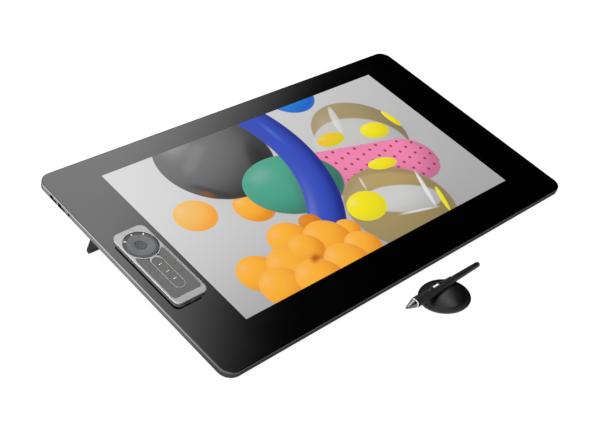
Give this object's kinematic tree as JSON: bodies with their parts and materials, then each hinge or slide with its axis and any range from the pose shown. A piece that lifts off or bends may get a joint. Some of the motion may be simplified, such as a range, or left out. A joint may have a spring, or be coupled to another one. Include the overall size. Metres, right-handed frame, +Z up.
{
  "type": "pen drawing tablet",
  "caption": "Large pen display leaning back on two fold-out legs, with a key remote on its left bezel and its pen lying in a round pen stand.",
  "frame": {"origin": "on the desk, under the middle of the whole set's bounding box", "axes": "+X along the tablet's long side towards its right, +Y from the user towards the back of the desk, +Z up; the tablet leans back 18.2 degrees about X"},
  "size_m": [0.674, 0.4624, 0.1349],
  "materials": {
    "cover_glass": "gloss",
    "lcd_panel": "satin",
    "light_guide_plate": "gloss",
    "backlight_tray": "satin",
    "pen_sensor_board": "matte",
    "chassis_plate": "satin",
    "side_frame": "satin",
    "rear_cover": "matte",
    "main_board": "matte",
    "heat_sink": "satin",
    "fan_plastic": "matte",
    "port_steel": "satin",
    "socket_plastic": "matte",
    "mount_steel": "satin",
    "foot_rubber": "matte",
    "hinge_steel": "satin",
    "leg_metal": "satin",
    "button_plastic": "satin",
    "screw_steel": "satin",
    "remote_shell": "satin",
    "remote_silver": "satin",
    "remote_dial": "satin",
    "remote_key": "satin",
    "battery_foil": "satin",
    "magnet_steel": "satin",
    "pen_rubber": "matte",
    "pen_gloss": "gloss",
    "pen_silver": "gloss",
    "pen_plastic": "satin",
    "stand_plastic": "satin"
  },
  "bodies": {
    "tablet": {"cover_glass": "cover_glass", "lcd_panel": "lcd_panel", "light_guide_plate": "light_guide_plate", "backlight_tray": "backlight_tray", "pen_sensor_board": "pen_sensor_board", "chassis_plate": "chassis_plate", "side_frame": "side_frame", "rear_cover": "rear_cover", "main_board": "main_board", "heat_sink": "heat_sink", "fan_housing": "fan_plastic", "usb_port_left_1": "port_steel", "usb_port_left_2": "port_steel", "audio_jack": "socket_plastic", "connector_bank": "socket_plastic", "stand_mount_plate": "mount_steel", "front_foot_left": "foot_rubber", "front_foot_right": "foot_rubber", "hinge_pin_left": "hinge_steel", "hinge_pin_right": "hinge_steel", "cover_screw_1": "screw_steel", "cover_screw_2": "screw_steel", "cover_screw_3": "screw_steel", "cover_screw_4": "screw_steel"},
    "left_leg": {"leg_left": "leg_metal", "leg_pad_left": "foot_rubber"},
    "right_leg": {"leg_right": "leg_metal", "leg_pad_right": "foot_rubber"},
    "power_button": {"power_button": "button_plastic"},
    "fan_rotor": {"fan_rotor": "fan_plastic"},
    "remote": {"remote_base": "remote_shell", "remote_frame": "remote_silver", "remote_touch_ring": "remote_dial", "remote_board": "main_board", "remote_battery": "battery_foil", "remote_magnet": "magnet_steel"},
    "center_button": {"remote_center_button": "remote_dial"},
    "left_key_1": {"left_key_1": "remote_key"},
    "left_key_2": {"left_key_2": "remote_key"},
    "left_key_3": {"left_key_3": "remote_key"},
    "left_key_4": {"left_key_4": "remote_key"},
    "right_key_1": {"right_key_1": "remote_key"},
    "right_key_2": {"right_key_2": "remote_key"},
    "right_key_3": {"right_key_3": "remote_key"},
    "right_key_4": {"right_key_4": "remote_key"},
    "pill_key_1": {"pill_key_1": "remote_key"},
    "pill_key_2": {"pill_key_2": "remote_key"},
    "pill_key_3": {"pill_key_3": "remote_key"},
    "pill_key_4": {"pill_key_4": "remote_key"},
    "bottom_key": {"bottom_key": "remote_key"},
    "pen_stand_base": {"stand_base": "pen_plastic", "stand_foot": "foot_rubber"},
    "pen_stand_top": {"stand_lid": "stand_plastic"},
    "pen": {"pen_cone": "pen_gloss", "pen_ring": "pen_silver", "pen_grip": "pen_rubber", "pen_barrel": "pen_plastic"},
    "pen_tip": {"pen_nib": "pen_plastic"},
    "side_switch": {"pen_side_switch": "pen_gloss"},
    "tail_button": {"pen_tail_button": "pen_plastic"}
  },
  "joints": [
    {"name": "left_leg_fold", "type": "hinge", "parent": "tablet", "child": "left_leg", "pos_m": [-0.247, 0.17273, 0.09172], "axis": [1, 0, 0], "range_deg": [-100, 0]},
    {"name": "right_leg_fold", "type": "hinge", "parent": "tablet", "child": "right_leg", "pos_m": [0.247, 0.17273, 0.09172], "axis": [1, 0, 0], "range_deg": [-100, 0]},
    {"name": "power_press", "type": "slide", "parent": "tablet", "child": "power_button", "axis": [0, -0.95, -0.3123], "range_m": [0, 0.0006], "stiffness_N_per_m": 500},
    {"name": "fan_spin", "type": "hinge", "parent": "tablet", "child": "fan_rotor", "pos_m": [0.16, 0.05458, 0.05729], "axis": [0, -0.3123, 0.95], "continuous": true},
    {"name": "remote_lift", "type": "slide", "parent": "tablet", "child": "remote", "axis": [0, -0.3123, 0.95], "range_m": [0, 0.06]},
    {"name": "center_press", "type": "slide", "parent": "remote", "child": "center_button", "axis": [0, 0.3123, -0.95], "range_m": [0, 0.0005], "stiffness_N_per_m": 400},
    {"name": "left_key_1_press", "type": "slide", "parent": "remote", "child": "left_key_1", "axis": [0, 0.3123, -0.95], "range_m": [0, 0.0006], "stiffness_N_per_m": 400},
    {"name": "left_key_2_press", "type": "slide", "parent": "remote", "child": "left_key_2", "axis": [0, 0.3123, -0.95], "range_m": [0, 0.0006], "stiffness_N_per_m": 400},
    {"name": "left_key_3_press", "type": "slide", "parent": "remote", "child": "left_key_3", "axis": [0, 0.3123, -0.95], "range_m": [0, 0.0006], "stiffness_N_per_m": 400},
    {"name": "left_key_4_press", "type": "slide", "parent": "remote", "child": "left_key_4", "axis": [0, 0.3123, -0.95], "range_m": [0, 0.0006], "stiffness_N_per_m": 400},
    {"name": "right_key_1_press", "type": "slide", "parent": "remote", "child": "right_key_1", "axis": [0, 0.3123, -0.95], "range_m": [0, 0.0006], "stiffness_N_per_m": 400},
    {"name": "right_key_2_press", "type": "slide", "parent": "remote", "child": "right_key_2", "axis": [0, 0.3123, -0.95], "range_m": [0, 0.0006], "stiffness_N_per_m": 400},
    {"name": "right_key_3_press", "type": "slide", "parent": "remote", "child": "right_key_3", "axis": [0, 0.3123, -0.95], "range_m": [0, 0.0006], "stiffness_N_per_m": 400},
    {"name": "right_key_4_press", "type": "slide", "parent": "remote", "child": "right_key_4", "axis": [0, 0.3123, -0.95], "range_m": [0, 0.0006], "stiffness_N_per_m": 400},
    {"name": "pill_key_1_press", "type": "slide", "parent": "remote", "child": "pill_key_1", "axis": [0, 0.3123, -0.95], "range_m": [0, 0.0006], "stiffness_N_per_m": 400},
    {"name": "pill_key_2_press", "type": "slide", "parent": "remote", "child": "pill_key_2", "axis": [0, 0.3123, -0.95], "range_m": [0, 0.0006], "stiffness_N_per_m": 400},
    {"name": "pill_key_3_press", "type": "slide", "parent": "remote", "child": "pill_key_3", "axis": [0, 0.3123, -0.95], "range_m": [0, 0.0006], "stiffness_N_per_m": 400},
    {"name": "pill_key_4_press", "type": "slide", "parent": "remote", "child": "pill_key_4", "axis": [0, 0.3123, -0.95], "range_m": [0, 0.0006], "stiffness_N_per_m": 400},
    {"name": "bottom_key_press", "type": "slide", "parent": "remote", "child": "bottom_key", "axis": [0, 0.3123, -0.95], "range_m": [0, 0.0006], "stiffness_N_per_m": 400},
    {"name": "stand_lift", "type": "slide", "parent": "tablet", "child": "pen_stand_base", "axis": [0, 0, 1], "range_m": [0, 0.06]},
    {"name": "stand_twist", "type": "hinge", "parent": "pen_stand_base", "child": "pen_stand_top", "pos_m": [-0.022, -0.19716, 0.01], "axis": [0, 0, 1], "range_deg": [0, 30]},
    {"name": "pen_lift", "type": "slide", "parent": "pen_stand_top", "child": "pen", "axis": [0, 0, 1], "range_m": [0, 0.08]},
    {"name": "nib_press", "type": "slide", "parent": "pen", "child": "pen_tip", "axis": [0.9989, 0.0366, -0.0297], "range_m": [0, 0.0005], "stiffness_N_per_m": 400},
    {"name": "side_switch_rock", "type": "hinge", "parent": "pen", "child": "side_switch", "pos_m": [-0.04081, -0.19692, 0.02909], "axis": [-0.0366, 0.9993, 0], "range_deg": [-1.8, 1.8], "stiffness_Nm_per_rad": 0.08},
    {"name": "tail_press", "type": "slide", "parent": "pen", "child": "tail_button", "axis": [-0.9989, -0.0366, 0.0297], "range_m": [0, 0.0005], "stiffness_N_per_m": 400}
  ]
}
